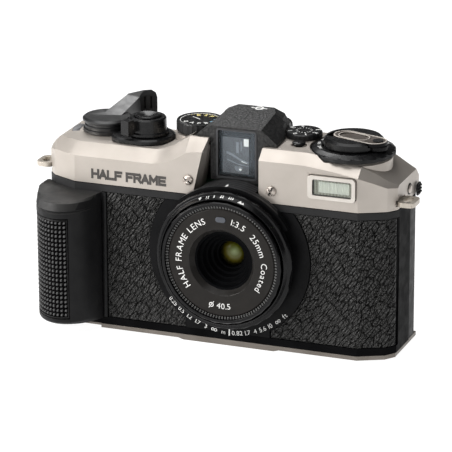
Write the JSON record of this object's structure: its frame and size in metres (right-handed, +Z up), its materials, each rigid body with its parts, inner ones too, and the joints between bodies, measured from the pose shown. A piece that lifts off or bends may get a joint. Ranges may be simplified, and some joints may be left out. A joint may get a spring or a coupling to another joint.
{
  "type": "half frame camera",
  "caption": "Compact half frame film camera with a fixed lens, lever wind, folding rewind crank, top dials, front flash, battery grip and hinged back.",
  "frame": {"origin": "on the flat pad under the base plate, midway across the body and midway through its depth", "axes": "+Z up, -Y the way the lens looks, +X towards the flash and the rewind crank"},
  "size_m": [0.1372, 0.054, 0.078],
  "materials": {
    "black_body": "matt black painted casting",
    "silver_paint": "satin champagne silver paint on magnesium",
    "black_plastic": "fine textured black",
    "leatherette": "pebble grain leatherette",
    "grip_rubber": "moulded grip pattern",
    "chrome": "satin plated",
    "glass": "coated glass",
    "lens_black": "black anodised",
    "name_ring": "dark brown anodised",
    "board": "solder mask",
    "cell": "printed sleeve",
    "silver_knob": "satin anodised"
  },
  "bodies": {
    "camera": {"body_shell": "black_body", "top_cover": "silver_paint", "bottom_cover": "silver_paint", "grip_shell": "black_plastic", "grip_rubber": "grip_rubber", "battery": "cell", "leather_left": "leatherette", "leather_right": "leatherette", "grip_trim": "black_plastic", "viewfinder_hump": "black_body", "finder_front_glass": "glass", "finder_tube": "black_plastic", "eyepiece_frame": "grip_rubber", "eyepiece_lens": "glass", "flash_bezel": "silver_knob", "flash_window": "glass", "flash_reflector": "chrome", "front_screw_left": "chrome", "front_screw_right": "chrome", "base_screw_left": "chrome", "base_screw_right": "chrome", "strap_lug_left": "chrome", "strap_lug_right": "chrome", "front_panel": "black_body", "lens_barrel": "lens_black", "shutter_unit": "lens_black", "rear_lens": "glass", "film_chassis": "black_body", "circuit_board": "board", "flash_capacitor": "chrome", "tripod_socket": "chrome", "hinge_pin": "chrome", "shutter_plate": "lens_black", "counter_window": "glass"},
    "battery_cover": {"battery_cover": "black_plastic"},
    "rewind_release": {"rewind_release_button": "black_plastic"},
    "back_door": {"back_door": "black_body", "memo_holder": "black_plastic", "thumb_rest": "grip_rubber"},
    "pressure_plate": {"pressure_plate": "lens_black"},
    "door_latch": {"door_latch": "black_plastic"},
    "shutter_button": {"shutter_button": "lens_black"},
    "power_lever": {"power_lever": "lens_black"},
    "wind_lever": {"wind_lever": "lens_black"},
    "counter_dial": {"frame_counter_dial": "black_plastic"},
    "takeup_spool": {"takeup_spool": "black_plastic"},
    "sprocket": {"film_sprocket": "black_plastic"},
    "mode_dial": {"mode_dial": "lens_black"},
    "exposure_dial": {"exposure_dial": "lens_black"},
    "dial_lock": {"dial_lock_button": "lens_black"},
    "iso_ring": {"iso_ring": "lens_black"},
    "rewind_knob": {"rewind_knob": "lens_black"},
    "rewind_crank": {"rewind_crank": "chrome"},
    "crank_handle": {"crank_handle": "black_plastic"},
    "focus_ring": {"focus_ring": "lens_black"},
    "lens_group": {"filter_ring": "lens_black", "lens_cone": "name_ring", "front_lens": "glass", "sensor_window": "glass"}
  },
  "joints": [
    {"name": "battery_cover_turn", "type": "hinge", "parent": "camera", "child": "battery_cover", "pos_m": [-0.0516, -0.02, 0.007], "axis": [0, 0, 1], "range_deg": [0, 60]},
    {"name": "rewind_release_press", "type": "slide", "parent": "camera", "child": "rewind_release", "axis": [0, 0, 1], "range_m": [0, 0.0015], "stiffness_N_per_m": 150, "springref_m": -0.001},
    {"name": "door_swing", "type": "hinge", "parent": "camera", "child": "back_door", "pos_m": [-0.061, 0.0086, 0.027], "axis": [0, 0, 1], "range_deg": [0, 90]},
    {"name": "pressure_plate_spring", "type": "slide", "parent": "back_door", "child": "pressure_plate", "axis": [0, 1, 0], "range_m": [0, 0.001], "stiffness_N_per_m": 250, "springref_m": -0.0005},
    {"name": "latch_slide", "type": "slide", "parent": "camera", "child": "door_latch", "axis": [0, 0, -1], "range_m": [0, 0.003], "stiffness_N_per_m": 120, "springref_m": -0.001},
    {"name": "shutter_press", "type": "slide", "parent": "camera", "child": "shutter_button", "axis": [0, 0, -1], "range_m": [0, 0.0015], "stiffness_N_per_m": 250, "springref_m": -0.001},
    {"name": "power_turn", "type": "hinge", "parent": "camera", "child": "power_lever", "pos_m": [-0.0292, 0.0004, 0.069], "axis": [0, 0, 1], "range_deg": [0, 45]},
    {"name": "wind_stroke", "type": "hinge", "parent": "camera", "child": "wind_lever", "pos_m": [-0.0462, 0.005, 0.068], "axis": [0, 0, 1], "range_deg": [0, 130], "stiffness_Nm_per_rad": 0.004, "springref_deg": -17.19},
    {"name": "counter_turn", "type": "hinge", "parent": "camera", "child": "counter_dial", "pos_m": [-0.0495, 0.0045, 0.062], "axis": [0, 0, 1], "range_deg": [0, 6]},
    {"name": "spool_turn", "type": "hinge", "parent": "camera", "child": "takeup_spool", "pos_m": [-0.0462, 0.002, 0.027], "axis": [0, 0, 1], "range_deg": [0, 200]},
    {"name": "sprocket_turn", "type": "hinge", "parent": "camera", "child": "sprocket", "pos_m": [-0.0245, 0.0052, 0.027], "axis": [0, 0, 1], "range_deg": [0, 181]},
    {"name": "mode_turn", "type": "hinge", "parent": "camera", "child": "mode_dial", "pos_m": [-0.0113, 0.004, 0.072], "axis": [0, 0, 1], "range_deg": [-120, 60]},
    {"name": "exposure_turn", "type": "hinge", "parent": "camera", "child": "exposure_dial", "pos_m": [0.0253, 0.0066, 0.072], "axis": [0, 0, 1], "range_deg": [-110, 110]},
    {"name": "dial_lock_press", "type": "slide", "parent": "camera", "child": "dial_lock", "axis": [0, 0, -1], "range_m": [0, 0.0007], "stiffness_N_per_m": 200, "springref_m": -0.001},
    {"name": "iso_turn", "type": "hinge", "parent": "camera", "child": "iso_ring", "pos_m": [0.0449, 0.0008, 0.07], "axis": [0, 0, 1], "range_deg": [-100, 35]},
    {"name": "rewind_turn", "type": "hinge", "parent": "camera", "child": "rewind_knob", "pos_m": [0.0449, 0.0008, 0.072], "axis": [0, 0, 1], "continuous": true},
    {"name": "crank_flip", "type": "hinge", "parent": "rewind_knob", "child": "rewind_crank", "pos_m": [0.03964, 0.00241, 0.07395], "axis": [-0.2924, -0.9563, 0], "range_deg": [0, 120]},
    {"name": "crank_handle_spin", "type": "hinge", "parent": "rewind_crank", "child": "crank_handle", "pos_m": [0.05437, -0.00209, 0.074], "axis": [0, 0, 1], "continuous": true},
    {"name": "focus_turn", "type": "hinge", "parent": "camera", "child": "focus_ring", "pos_m": [0.0062, -0.018, 0.0326], "axis": [0, -1, 0], "range_deg": [-50, 50]},
    {"name": "focus_travel", "type": "slide", "parent": "camera", "child": "lens_group", "axis": [0, -1, 0], "range_m": [-0.0012, 0.0012]}
  ],
  "couplings": [
    {"joint": "counter_turn", "follows": "wind_stroke", "ratio": 0.0385},
    {"joint": "spool_turn", "follows": "wind_stroke", "ratio": 1.52},
    {"joint": "sprocket_turn", "follows": "wind_stroke", "ratio": 1.385},
    {"joint": "focus_travel", "follows": "focus_turn", "m_per_rad": 0.0013}
  ]
}
